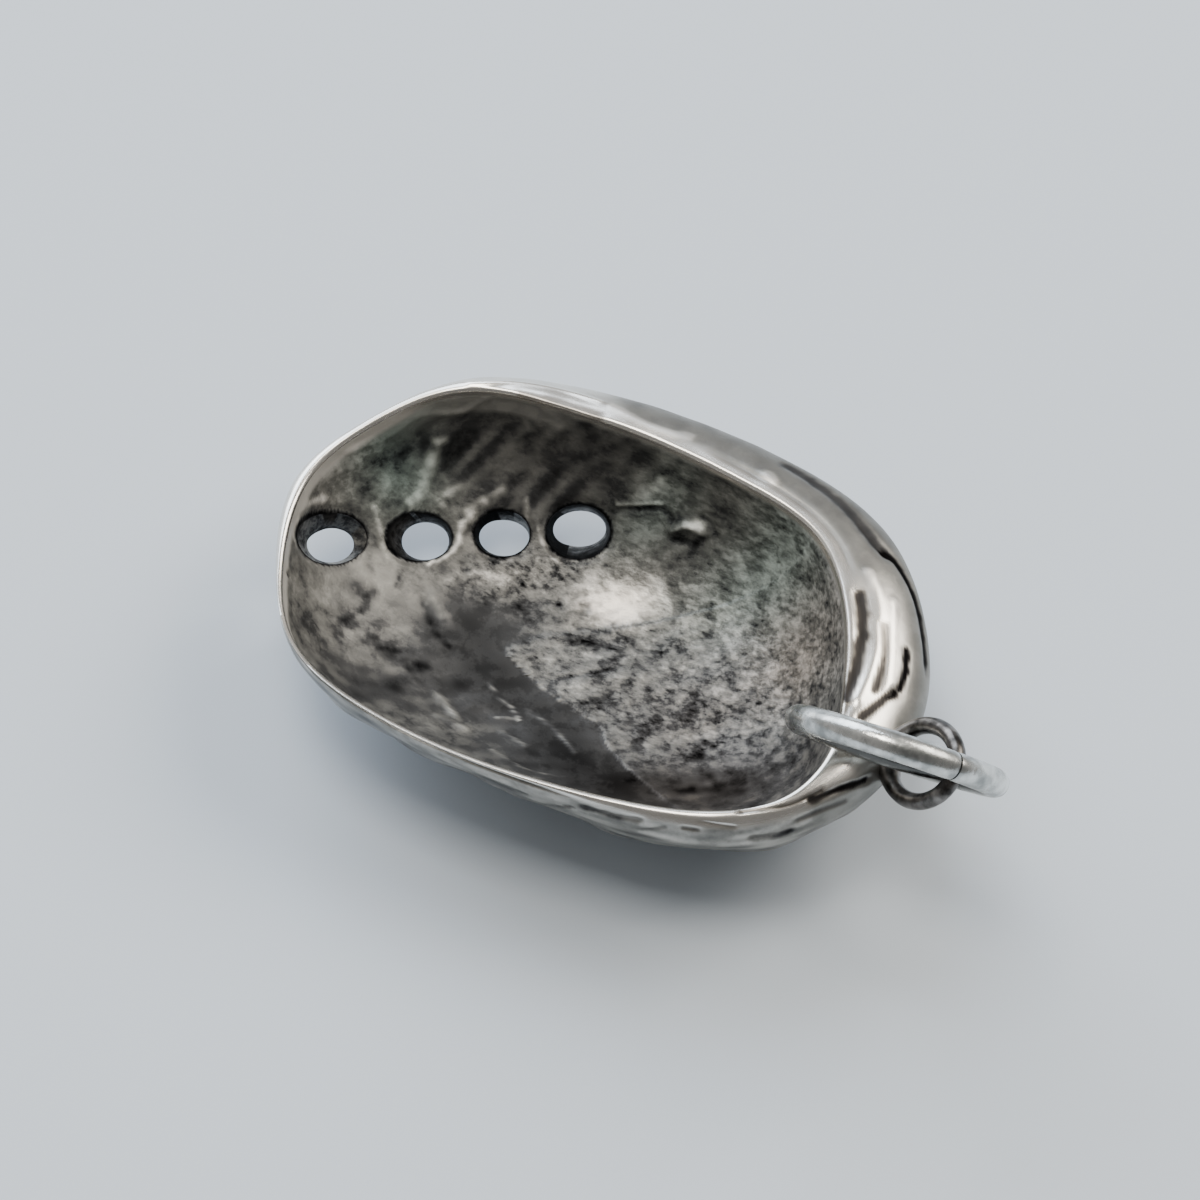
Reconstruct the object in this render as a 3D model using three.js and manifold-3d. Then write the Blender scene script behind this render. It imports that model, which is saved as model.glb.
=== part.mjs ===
// Cast silver pendant in the shape of an abalone shell, lying on its back with the hollow up.
// Millimetres. +X runs along the shell to the end with the ring, +Y to the shelf side, +Z up.
// The origin is on the table, under the middle of the worn flat that the shell lies on.

import * as THREE from 'three';
import { ParametricGeometry } from 'three/addons/geometries/ParametricGeometry.js';
import { mergeVertices } from 'three/addons/utils/BufferGeometryUtils.js';
import Module from 'manifold-3d';

const wasm = await Module();
wasm.setup();

// Stations round the rim, clockwise from above and starting at the far end from the ring.
// Each gives the rim's inner edge (x, y, z) and then the widest place outside it (x, y, z).
const STATIONS = [
  [-10.9, -1.5, 5.9, -11.5, -1.5, 5.2],
  [-9.9, 1.4, 6.2, -10.45, 1.55, 5.4],
  [-7.6, 4.1, 6.4, -8.2, 4.6, 5.5],
  [-4.3, 5.0, 6.5, -5.35, 6.2, 5.4],
  [-0.5, 5.2, 6.5, -0.8, 7.1, 5.2],
  [3.4, 4.9, 6.5, 4.5, 7.0, 5.2],
  [6.6, 4.0, 6.5, 8.85, 5.65, 5.1],
  [8.7, 1.6, 6.5, 11.6, 2.5, 4.9],
  [9.8, -0.9, 6.4, 12.6, -0.4, 4.8],
  [10.4, -3.4, 6.3, 12.3, -3.3, 4.8],
  [9.6, -5.9, 6.2, 10.6, -6.2, 4.9],
  [7.0, -7.6, 6.2, 7.6, -8.2, 5.0],
  [3.3, -8.5, 6.2, 3.4, -8.95, 5.3],
  [-0.7, -8.9, 6.2, -0.7, -9.2, 5.7],
  [-4.6, -8.7, 6.2, -4.65, -8.95, 5.85],
  [-8.0, -7.6, 6.1, -8.1, -7.75, 5.75],
  [-10.0, -5.0, 5.9, -10.25, -5.1, 5.5],
];

// The section from the floor out to the rim, over the band and round the back to the base.
const FLOOR = new THREE.Vector3(1.0, -1.0, 1.05);
const BASE = new THREE.Vector3(2.5, 0.1, -0.26);
const LIP_RADIUS = 0.18;
const FLOOR_REACH = 0.55;
const WALL_REACH = 0.94;
const WALL_RISE = 0.26;
const BAND_REACH = 0.55;
const BAND_FALL = 0.5;
const BACK_FALL = 0.35;
const BACK_REACH = 0.6;

// Facets: how many round the rim, and how many rows in each stretch of the section.
const ROUND_FACETS = 72;
const INNER_ROWS = 14;
const LIP_ROWS = 2;
const BAND_ROWS = 9;
const BACK_ROWS = 15;
const ALL_ROWS = INNER_ROWS + LIP_ROWS + BAND_ROWS + BACK_ROWS;

// Ridges along the wide band at the ring's end: place across the band, width there and height.
const BAND_RIDGES = [
  { place: 0.16, width: 0.06, height: -0.1 },
  { place: 0.38, width: 0.1, height: 0.08 },
  { place: 0.86, width: 0.07, height: -0.14 },
];
const NARROW_BAND = 2.3;
const WIDE_BAND = 2.8;

// The low spire on the back, its coiled groove, and the growth ridges and cords that fan from it.
const SPIRE = new THREE.Vector2(9.2, 2.2);
const SPIRE_HEIGHT = 0.55;
const SPIRE_RADIUS = 2.0;
const COIL_DEPTH = 0.2;
const COIL_WIDTH = 0.45;
const COIL_RATE = 0.32;
const COIL_END = 6;
const GROWTH_HEIGHT = 0.05;
const GROWTH_STEP = 2.3;
const CORD_HEIGHT = 0.05;
const CORD_COUNT = 14;
const CORD_CURL = 0.25;
const RELIEF_FADE_HEIGHT = 0.8;
const RELIEF_FADE_SHARE = 0.15;

// The row of open pores. Each bore narrows from an oval inside the hollow to a smaller one outside:
// the middles of both ovals, the inner oval's half axes, the outer oval's share of them, and the
// way that the wall outside faces.
const PORES = [
  {
    inside: [-9.75, -1.82, 3.6], outside: [-9.84, -1.76, 3.09],
    along: [0.88, 0.99, -0.88], across: [-0.38, 0.8, 0.33], throat: [0.67, 0.72],
    facing: [-0.57, -0.12, -0.81],
  },
  {
    inside: [-7.27, 0.24, 2.37], outside: [-7.21, 0.51, 1.69],
    along: [1.0, 0.64, -0.27], across: [-0.35, 0.74, 0.35], throat: [0.73, 0.78],
    facing: [-0.41, 0.21, -0.89],
  },
  {
    inside: [-4.76, 1.84, 1.93], outside: [-4.81, 2.13, 1.13],
    along: [0.89, 0.48, -0.1], across: [-0.34, 0.73, 0.3], throat: [0.88, 0.77],
    facing: [-0.32, 0.23, -0.92],
  },
  {
    inside: [-2.25, 2.98, 2.11], outside: [-2.52, 3.69, 1.02],
    along: [1.11, 0.39, 0.2], across: [-0.35, 0.76, 0.53], throat: [0.8, 0.66],
    facing: [-0.17, 0.43, -0.89],
  },
];
const PORE_ROW = new THREE.Vector3(0.84, 0.54, 0);
const PORE_FACETS = 20;
const BORE_ABOVE = 1.2;
const BORE_BELOW = 2.5;
const COLLAR_SIZE = [1.45, 0.35, 1.1];

// The next pore of the row, which grew shut and is left as a small bump.
const SHUT_PORE = { place: [1.65, 4.2, 3.35], size: [0.55, 0.32, 0.3] };

// The ring stands in a plane of its own: heading and dip of its long way, and its lean.
const RING_CENTRE = new THREE.Vector3(13.15, -4.27, 9.54);
const RING_HEADING = 9;
const RING_DIP = 9;
const RING_ROLL = 116;
const RING_RADIUS = 3.5;
const RING_WIRE = 0.5;
const RING_FACETS = 48;
const RING_SPLIT_ANGLE = 59;
const RING_SPLIT = 0.06;

// The eye is a loop of wire soldered to the wall. Its tip and foot are places in the ring's plane.
const EYE_TIP = new THREE.Vector2(2.2, -1.45);
const EYE_FOOT = new THREE.Vector2(0.1, -4.65);
const EYE_HALF_WIDTH = 1.35;
const EYE_WIRE = 0.3;
const EYE_FACETS = 36;
const WIRE_SIDES = 10;
const SOLDER = { place: [0.25, -4.55], size: [0.75, 0.45, 0.95] };
const SOLDER_GAP = 0.02;

// Materials, with the colours of tarnished and of polished silver.
const tarnished = new THREE.MeshStandardMaterial({ color: 0x8e8f8c, roughness: 0.42, metalness: 1 });
const darkWire = new THREE.MeshStandardMaterial({ color: 0x55565a, roughness: 0.4, metalness: 1 });
const polished = new THREE.MeshStandardMaterial({ color: 0xb4b7b6, roughness: 0.25, metalness: 1 });

// Smooth closed curve through every row of numbers: a uniform cubic whose control rows are
// nudged until the curve meets the rows.
const SPLINE_PASSES = 40;
function closedSpline(rows) {
  const count = rows.length;
  const at = (list, k) => list[((k % count) + count) % count];
  let controls = rows.map((row) => [...row]);
  for (let pass = 0; pass < SPLINE_PASSES; pass += 1) {
    controls = controls.map((row, k) => row.map((value, i) => {
      const met = (at(controls, k - 1)[i] + 4 * value + at(controls, k + 1)[i]) / 6;
      return value + rows[k][i] - met;
    }));
  }
  return (turn) => {
    const t = turn * count;
    const k = Math.floor(t);
    const s = t - k;
    const weights = [
      (1 - s) ** 3 / 6,
      (3 * s ** 3 - 6 * s ** 2 + 4) / 6,
      (-3 * s ** 3 + 3 * s ** 2 + 3 * s + 1) / 6,
      s ** 3 / 6,
    ];
    return rows[0].map((_, i) => weights.reduce((sum, w, j) => sum + w * at(controls, k - 1 + j)[i], 0));
  };
}

const stationAt = closedSpline(STATIONS);

// The level part of a vector.
function level(vector) {
  return new THREE.Vector3(vector.x, vector.y, 0);
}

function bell(value, middle, width) {
  return Math.exp(-(((value - middle) / width) ** 2));
}

// A point of the plain section: row 0 is the floor's middle, the last row the base's middle.
function plainPoint(turn, row, grow) {
  const values = stationAt(turn);
  const edge = new THREE.Vector3(...values.slice(0, 3));
  const widest = new THREE.Vector3(...values.slice(3, 6));
  const outward = level(widest).sub(level(edge)).normalize();
  widest.addScaledVector(outward, grow);
  const low = edge.clone().setZ(edge.z - LIP_RADIUS);
  const top = edge.clone().addScaledVector(outward, LIP_RADIUS);
  if (row <= INNER_ROWS) {
    const run = level(low).sub(level(FLOOR));
    const rise = low.z - FLOOR.z;
    const near = FLOOR.clone().addScaledVector(run, FLOOR_REACH);
    const far = FLOOR.clone().addScaledVector(run, WALL_REACH);
    far.z += WALL_RISE * rise;
    return new THREE.CubicBezierCurve3(FLOOR, near, far, low).getPoint(row / INNER_ROWS);
  }
  const pastInner = row - INNER_ROWS;
  if (pastInner <= LIP_ROWS) {
    const angle = (pastInner / LIP_ROWS) * Math.PI / 2;
    const point = low.addScaledVector(outward, LIP_RADIUS * (1 - Math.cos(angle)));
    point.z += LIP_RADIUS * Math.sin(angle);
    return point;
  }
  const pastLip = pastInner - LIP_ROWS;
  if (pastLip <= BAND_ROWS) {
    const over = top.clone().addScaledVector(level(widest).sub(level(top)), BAND_REACH);
    const down = widest.clone().setZ(widest.z + BAND_FALL * (top.z - widest.z));
    return new THREE.CubicBezierCurve3(top, over, down, widest).getPoint(pastLip / BAND_ROWS);
  }
  const under = widest.clone().setZ(widest.z - BACK_FALL * (widest.z - BASE.z));
  const base = BASE.clone().setZ(BASE.z - grow);
  const back = base.clone().addScaledVector(level(widest).sub(level(base)), BACK_REACH);
  return new THREE.CubicBezierCurve3(widest, under, back, base).getPoint((pastLip - BAND_ROWS) / BACK_ROWS);
}

// Height of the ridges across the band, which fade where the band is narrow.
function bandRelief(turn, row) {
  const across = (row - INNER_ROWS - LIP_ROWS) / BAND_ROWS;
  const values = stationAt(turn);
  const width = Math.hypot(values[3] - values[0], values[4] - values[1]);
  const share = THREE.MathUtils.smoothstep(width, NARROW_BAND, WIDE_BAND);
  return share * BAND_RIDGES.reduce((sum, r) => sum + r.height * bell(across, r.place, r.width), 0);
}

// Height of the back's spire, its coiled groove, the growth ridges and the cords.
function backRelief(point, row) {
  const dx = point.x - SPIRE.x;
  const dy = point.y - SPIRE.y;
  const reach = Math.hypot(dx, dy);
  const bearing = Math.atan2(dy, dx);
  const coil = bearing - Math.log(reach + 1e-6) / COIL_RATE;
  const offCoil = Math.abs(THREE.MathUtils.euclideanModulo(coil + Math.PI, 2 * Math.PI) - Math.PI);
  const coilFade = 1 - THREE.MathUtils.smoothstep(reach, COIL_END / 2, COIL_END);
  const ribFade = THREE.MathUtils.smoothstep(reach, SPIRE_RADIUS, 2 * SPIRE_RADIUS);
  const spire = SPIRE_HEIGHT * bell(reach, 0, SPIRE_RADIUS);
  const groove = -COIL_DEPTH * coilFade * bell(offCoil * COIL_RATE * reach, 0, COIL_WIDTH);
  const growth = GROWTH_HEIGHT * Math.cos((2 * Math.PI * reach) / GROWTH_STEP);
  const cords = CORD_HEIGHT * Math.cos(CORD_COUNT * (bearing + CORD_CURL * Math.log(reach + 1)));
  const pastBand = (row - INNER_ROWS - LIP_ROWS - BAND_ROWS) / BACK_ROWS;
  const fade = THREE.MathUtils.smoothstep(pastBand, 0, RELIEF_FADE_SHARE)
    * THREE.MathUtils.smoothstep(point.z, 0, RELIEF_FADE_HEIGHT);
  return fade * (spire + groove + ribFade * (growth + cords));
}

// A point of the shell's skin: the plain section, moved out along its normal by the relief.
const NUDGE_TURN = 1e-4;
const NUDGE_ROW = 1e-3;
function skinPoint(turn, row, grow) {
  const point = plainPoint(turn, row, grow);
  const bandStart = INNER_ROWS + LIP_ROWS;
  const bandEnd = bandStart + BAND_ROWS;
  if (row > bandStart && row < ALL_ROWS) {
    const relief = row < bandEnd ? bandRelief(turn, row) : backRelief(point, row);
    const round = plainPoint(turn + NUDGE_TURN, row, grow).sub(point);
    const along = point.clone().sub(plainPoint(turn, row - NUDGE_ROW, grow));
    point.addScaledVector(round.cross(along).normalize(), relief);
  }
  point.z = Math.max(point.z, -grow);
  return point;
}

// A three.js geometry as a solid that can be joined and cut, without its collapsed triangles.
const MERGE_DISTANCE = 1e-4;
function solidOf(geometry, matrix = new THREE.Matrix4()) {
  const bare = geometry.clone().applyMatrix4(matrix);
  bare.deleteAttribute('normal');
  bare.deleteAttribute('uv');
  const merged = mergeVertices(bare, MERGE_DISTANCE);
  const index = merged.index.array;
  const triangles = [];
  for (let i = 0; i < index.length; i += 3) {
    const [a, b, c] = index.slice(i, i + 3);
    if (a !== b && b !== c && c !== a) {
      triangles.push(a, b, c);
    }
  }
  return new wasm.Manifold(new wasm.Mesh({
    numProp: 3,
    vertProperties: new Float32Array(merged.attributes.position.array),
    triVerts: new Uint32Array(triangles),
  }));
}

function geometryOf(solid) {
  const mesh = solid.getMesh();
  const geometry = new THREE.BufferGeometry();
  geometry.setAttribute('position', new THREE.BufferAttribute(new Float32Array(mesh.vertProperties), 3));
  geometry.setIndex(new THREE.BufferAttribute(new Uint32Array(mesh.triVerts), 1));
  geometry.computeVertexNormals();
  return geometry;
}

// The plain casting, or the same grown by a little for cutting what is soldered to it.
function shellSolid(grow) {
  const skin = (turn, down, target) => target.copy(skinPoint(turn % 1, down * ALL_ROWS, grow));
  return solidOf(new ParametricGeometry(skin, ROUND_FACETS, ALL_ROWS));
}

// The bore of a pore: an oval tube from below the shell up into the hollow. Its rows are given by
// depth along the bore, 0 at the inner oval and 1 at the outer, and by size.
function poreCutter(pore) {
  const inside = new THREE.Vector3(...pore.inside);
  const bore = new THREE.Vector3(...pore.outside).sub(inside);
  const along = new THREE.Vector3(...pore.along);
  const across = new THREE.Vector3(...pore.across);
  const rows = [
    { depth: BORE_BELOW, size: [0, 0] },
    { depth: BORE_BELOW, size: pore.throat },
    { depth: 1, size: pore.throat },
    { depth: 0, size: [1, 1] },
    { depth: -BORE_ABOVE, size: [1, 1] },
    { depth: -BORE_ABOVE, size: [0, 0] },
  ];
  const last = rows.length - 1;
  const wall = (turn, down, target) => {
    const { depth, size } = rows[Math.round(down * last)];
    const angle = 2 * Math.PI * (turn % 1);
    target.copy(inside).addScaledVector(bore, depth);
    target.addScaledVector(along, size[0] * Math.cos(angle));
    target.addScaledVector(across, size[1] * Math.sin(angle));
  };
  return solidOf(new ParametricGeometry(wall, PORE_FACETS, last));
}

// A round lump, squashed to three half sizes.
const LUMP_SIDES = 12;
const LUMP_ROWS = 7;
function lump(half, matrix) {
  const scale = new THREE.Matrix4().makeScale(...half);
  return solidOf(new THREE.SphereGeometry(1, LUMP_SIDES, LUMP_ROWS), matrix.clone().multiply(scale));
}

// The low swelling that a pore's outer end opens from: Y the way the wall faces, X along the row.
function poreCollar(pore) {
  const facing = new THREE.Vector3(...pore.facing).normalize();
  const along = PORE_ROW.clone().addScaledVector(facing, -PORE_ROW.dot(facing)).normalize();
  const side = new THREE.Vector3().crossVectors(along, facing);
  const frame = new THREE.Matrix4().makeBasis(along, facing, side);
  return lump(COLLAR_SIZE, frame.setPosition(...pore.outside));
}

function makeShell() {
  let solid = shellSolid(0);
  for (const pore of PORES) {
    solid = solid.add(poreCollar(pore));
  }
  const turn = new THREE.Matrix4().makeRotationZ(Math.atan2(PORE_ROW.y, PORE_ROW.x));
  solid = solid.add(lump(SHUT_PORE.size, turn.setPosition(...SHUT_PORE.place)));
  for (const pore of PORES) {
    solid = solid.subtract(poreCutter(pore));
  }
  const mesh = new THREE.Mesh(geometryOf(solid), tarnished);
  mesh.name = 'shell';
  return mesh;
}

// The frame of the ring: X along its long way in the picture plane, Y up through its near arc.
function ringFrame() {
  const angles = [RING_ROLL, RING_DIP, RING_HEADING].map(THREE.MathUtils.degToRad);
  const frame = new THREE.Matrix4().makeRotationFromEuler(new THREE.Euler(...angles, 'ZYX'));
  return frame.setPosition(RING_CENTRE);
}

// The soldered eye: an oval loop of wire and a bead of solder, cut to the wall they sit on.
function makeEye() {
  const long = EYE_TIP.clone().sub(EYE_FOOT);
  const middle = EYE_TIP.clone().add(EYE_FOOT).multiplyScalar(0.5);
  const wire = (turn, round, target) => {
    const angle = 2 * Math.PI * turn;
    const path = new THREE.Vector3(Math.cos(angle) * long.length() / 2, 0, Math.sin(angle) * EYE_HALF_WIDTH);
    const out = new THREE.Vector3(
      Math.cos(angle) * EYE_HALF_WIDTH, 0, Math.sin(angle) * long.length() / 2,
    ).normalize();
    path.addScaledVector(out, EYE_WIRE * Math.cos(2 * Math.PI * round));
    path.y = -EYE_WIRE * Math.sin(2 * Math.PI * round);
    target.copy(path);
  };
  const place = ringFrame();
  place.multiply(new THREE.Matrix4().makeTranslation(middle.x, middle.y, 0));
  place.multiply(new THREE.Matrix4().makeRotationZ(long.angle()));
  const bead = ringFrame().multiply(new THREE.Matrix4().makeTranslation(...SOLDER.place, 0));
  const loop = solidOf(new ParametricGeometry(wire, EYE_FACETS, WIRE_SIDES), place);
  const solid = loop.add(lump(SOLDER.size, bead)).subtract(shellSolid(SOLDER_GAP));
  const mesh = new THREE.Mesh(geometryOf(solid), darkWire);
  mesh.name = 'eye';
  return mesh;
}

// The wire of the ring runs round from one side of its split to the other.
class RingPath extends THREE.Curve {
  getPoint(share, target = new THREE.Vector3()) {
    const gap = RING_SPLIT / RING_RADIUS;
    const angle = THREE.MathUtils.degToRad(RING_SPLIT_ANGLE) + gap / 2 + share * (2 * Math.PI - gap);
    return target.set(RING_RADIUS * Math.cos(angle), RING_RADIUS * Math.sin(angle), 0);
  }
}

function makeRing() {
  const section = new THREE.Shape().absarc(0, 0, RING_WIRE, 0, 2 * Math.PI);
  const geometry = new THREE.ExtrudeGeometry(section, {
    steps: RING_FACETS,
    curveSegments: WIRE_SIDES / 2,
    bevelEnabled: false,
    extrudePath: new RingPath(),
  });
  const mesh = new THREE.Mesh(geometry, polished);
  mesh.name = 'jump_ring';
  mesh.applyMatrix4(ringFrame());
  return mesh;
}

const pendant = new THREE.Group();
pendant.add(makeShell(), makeEye(), makeRing());

export default pendant;
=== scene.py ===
"""A small cast silver pendant in the shape of an abalone shell, lying on its back on a pale table.

The shell, its soldered eye and its jump ring are worked out in millimetres in the frame of the
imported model: +X along the shell to the ring, +Y to the side with the wide band, +Z up.
"""

import math

import bpy
import numpy as np
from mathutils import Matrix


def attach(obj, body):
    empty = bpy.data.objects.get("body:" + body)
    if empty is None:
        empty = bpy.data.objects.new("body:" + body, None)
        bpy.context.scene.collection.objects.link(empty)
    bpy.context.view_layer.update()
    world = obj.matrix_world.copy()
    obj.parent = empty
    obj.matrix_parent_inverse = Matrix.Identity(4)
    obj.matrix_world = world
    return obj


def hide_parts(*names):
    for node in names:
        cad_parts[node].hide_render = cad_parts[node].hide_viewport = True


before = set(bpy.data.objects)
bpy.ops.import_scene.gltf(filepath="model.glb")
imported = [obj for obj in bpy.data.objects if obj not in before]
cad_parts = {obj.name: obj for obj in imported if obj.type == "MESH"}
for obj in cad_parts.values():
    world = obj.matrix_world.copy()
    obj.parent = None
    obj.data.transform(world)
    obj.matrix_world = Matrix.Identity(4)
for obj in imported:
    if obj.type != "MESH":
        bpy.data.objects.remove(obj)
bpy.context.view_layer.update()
MM = 0.001

# Stations round the rim, clockwise from above and starting at the far end from the ring.
# Each gives the rim's inner edge (x, y, z) and then the widest place outside it (x, y, z).
STATIONS = np.array([
    (-10.9, -1.5, 5.9, -11.5, -1.5, 5.2),
    (-9.9, 1.4, 6.2, -10.45, 1.55, 5.4),
    (-7.6, 4.1, 6.4, -8.2, 4.6, 5.5),
    (-4.3, 5.0, 6.5, -5.35, 6.2, 5.4),
    (-0.5, 5.2, 6.5, -0.8, 7.1, 5.2),
    (3.4, 4.9, 6.5, 4.5, 7.0, 5.2),
    (6.6, 4.0, 6.5, 8.85, 5.65, 5.1),
    (8.7, 1.6, 6.5, 11.6, 2.5, 4.9),
    (9.8, -0.9, 6.4, 12.6, -0.4, 4.8),
    (10.4, -3.4, 6.3, 12.3, -3.3, 4.8),
    (9.6, -5.9, 6.2, 10.6, -6.2, 4.9),
    (7.0, -7.6, 6.2, 7.6, -8.2, 5.0),
    (3.3, -8.5, 6.2, 3.4, -8.95, 5.3),
    (-0.7, -8.9, 6.2, -0.7, -9.2, 5.7),
    (-4.6, -8.7, 6.2, -4.65, -8.95, 5.85),
    (-8.0, -7.6, 6.1, -8.1, -7.75, 5.75),
    (-10.0, -5.0, 5.9, -10.25, -5.1, 5.5),
])

# The section from the floor out to the rim, over the band and round the back to the base.
UP = np.array((0.0, 0.0, 1.0))
FLOOR = np.array((1.0, -1.0, 1.05))
BASE = np.array((2.5, 0.1, -0.26))
LIP_RADIUS = 0.18
FLOOR_REACH = 0.55
WALL_REACH = 0.94
WALL_RISE = 0.26
BAND_REACH = 0.55
BAND_FALL = 0.5
BACK_FALL = 0.35
BACK_REACH = 0.6

# Mesh fineness: columns round the rim, rows in each stretch of the section, steps along a mark and
# along each wire, and sides round each bore and wire.
ROUND = 530
INNER_ROWS = 96
LIP_ROWS = 5
BAND_ROWS = 40
BACK_ROWS = 36
BORE_SIDES = 64
LINE_STEPS = 6
RING_STEPS = 200
RING_SIDES = 28
EYE_STEPS = 120
EYE_SIDES = 24
SHARP_ANGLE = math.radians(50)

# The row of open pores. Each bore narrows from an oval inside the hollow to a smaller one outside:
# the middles of both ovals, the inner oval's half axes, and the outer oval's share of them.
PORES = [
    dict(inside=(-9.75, -1.82, 3.6), outside=(-9.84, -1.76, 3.09),
         along=(0.88, 0.99, -0.88), across=(-0.38, 0.8, 0.33), throat=(0.67, 0.72)),
    dict(inside=(-7.27, 0.24, 2.37), outside=(-7.21, 0.51, 1.69),
         along=(1.0, 0.64, -0.27), across=(-0.35, 0.74, 0.35), throat=(0.73, 0.78)),
    dict(inside=(-4.76, 1.84, 1.93), outside=(-4.81, 2.13, 1.13),
         along=(0.89, 0.48, -0.1), across=(-0.34, 0.73, 0.3), throat=(0.88, 0.77)),
    dict(inside=(-2.25, 2.98, 2.11), outside=(-2.52, 3.69, 1.02),
         along=(1.11, 0.39, 0.2), across=(-0.35, 0.76, 0.53), throat=(0.8, 0.66)),
]
PORE_ROW = np.array((0.84, 0.54, 0.0))
BORE_ABOVE = 1.2
BORE_BELOW = 2.5
FUNNEL_DEPTH = 0.1
FUNNEL_WIDTH = 0.2
COLLAR_HEIGHT = 0.3
COLLAR_REACH = 1.15

# The back: a low spire with a coiled groove, and growth ridges and cords that fan from it.
SPIRE = np.array((9.2, 2.2))
SPIRE_HEIGHT = 0.55
SPIRE_RADIUS = 2.0
COIL_DEPTH = 0.2
COIL_WIDTH = 0.45
COIL_RATE = 0.32
COIL_END = 6.0
GROWTH_HEIGHT = 0.05
GROWTH_STEP = 2.3
CORD_HEIGHT = 0.05
CORD_COUNT = 14
CORD_CURL = 0.25

# Marks in the cast skin: half width, height, change of tone, and the places along each.
FAR_WALL_MARKS = [
    (0.28, 0.1, 0.42, [(-7.9, 0.9, 2.9), (-7.9, 1.8, 3.3), (-7.9, 2.4, 3.7), (-7.8, 3.1, 4.3)]),
    (0.36, 0.05, 0.25, [(-10.8, -0.9, 5.7), (-10.4, 0.0, 5.3), (-9.9, 0.9, 5.0), (-9.4, 1.8, 5.2)]),
    (0.12, 0.06, 0.16, [(-10.3, 0.6, 5.6), (-9.2, 2.0, 5.3), (-8.6, 3.1, 5.6), (-7.4, 4.0, 5.3),
                        (-6.5, 4.6, 6.1)]),
    (0.36, 0.04, 0.22, [(-9.0, 0.6, 3.6), (-8.9, 1.0, 3.8)]),
    (0.21, 0.05, 0.3, [(-7.2, 1.5, 2.7), (-6.8, 2.3, 2.9)]),
    (0.18, 0.05, 0.32, [(-6.2, 1.9, 2.4), (-5.6, 2.7, 2.5), (-5.3, 3.1, 2.7)]),
    (0.12, 0.05, 0.35, [(-4.4, 3.2, 2.5), (-4.2, 2.7, 2.2)]),
    (0.18, 0.05, 0.4, [(-10.7, -1.7, 5.1), (-10.4, -0.9, 4.5)]),
    (0.3, 0.02, 0.5, [(-10.9, -1.4, 5.5), (-10.8, -2.3, 5.3), (-10.6, -3.2, 5.0)]),
    (0.36, 0.03, 0.1, [(-6.7, 2.5, 2.9), (-6.0, 3.6, 3.4), (-5.5, 4.3, 4.1), (-4.8, 4.8, 5.2)]),
    (0.25, 0.03, 0.08, [(-5.5, 3.3, 2.9), (-4.8, 4.0, 3.4), (-4.3, 4.6, 4.6), (-3.9, 4.9, 5.5)]),
    (0.43, -0.03, -0.12, [(-9.3, 1.4, 4.6), (-8.9, 2.0, 4.6), (-8.4, 2.7, 4.6)]),
    (0.32, -0.03, -0.12, [(-7.5, 2.9, 3.8), (-6.9, 3.6, 4.0), (-6.4, 4.3, 4.7)]),
    (0.28, 0.03, 0.25, [(-0.5, 4.4, 3.6), (-0.1, 4.7, 4.1), (0.2, 4.8, 4.6)]),
]
PORE_RIDGES = [
    (0.16, 0.06, 0.3, [(-9.0, 0.1, 3.4), (-8.5, -0.4, 2.9), (-8.2, -0.8, 2.6)]),
    (0.14, 0.1, 0.5, [(-5.9, 1.9, 2.3), (-6.1, 1.2, 2.2), (-6.0, 0.7, 2.0), (-6.2, 0.1, 2.0),
                      (-6.6, -0.4, 2.0)]),
    (0.11, 0.06, 0.3, [(-3.6, 2.5, 2.0), (-3.1, 2.0, 1.7), (-2.5, 1.8, 1.6)]),
    (0.14, 0.05, 0.35, [(-1.5, 2.5, 1.8), (-1.2, 2.6, 1.9)]),
]
SHUT_PORE_MARKS = [
    (0.22, 0.32, 0.55, [(1.1, 4.0, 3.1), (1.5, 4.2, 3.4), (2.1, 4.2, 3.5)]),
    (0.14, -0.08, -0.25, [(1.2, 3.8, 2.8), (1.8, 3.8, 2.9), (2.2, 4.0, 3.2)]),
    (0.13, -0.1, -0.3, [(1.9, 4.4, 3.9), (2.4, 4.3, 3.7), (2.8, 4.0, 3.4)]),
    (0.08, 0.06, 0.4, [(-1.2, 4.1, 3.1), (-0.4, 4.3, 3.4), (0.4, 4.5, 3.7)]),
    (0.11, -0.08, -0.25, [(-1.3, 3.9, 2.8), (-0.4, 4.2, 3.2), (0.4, 4.3, 3.5), (0.9, 4.2, 3.4)]),
    (0.14, 0.04, 0.25, [(3.3, 3.7, 3.0), (4.0, 3.9, 3.4)]),
]
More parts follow.
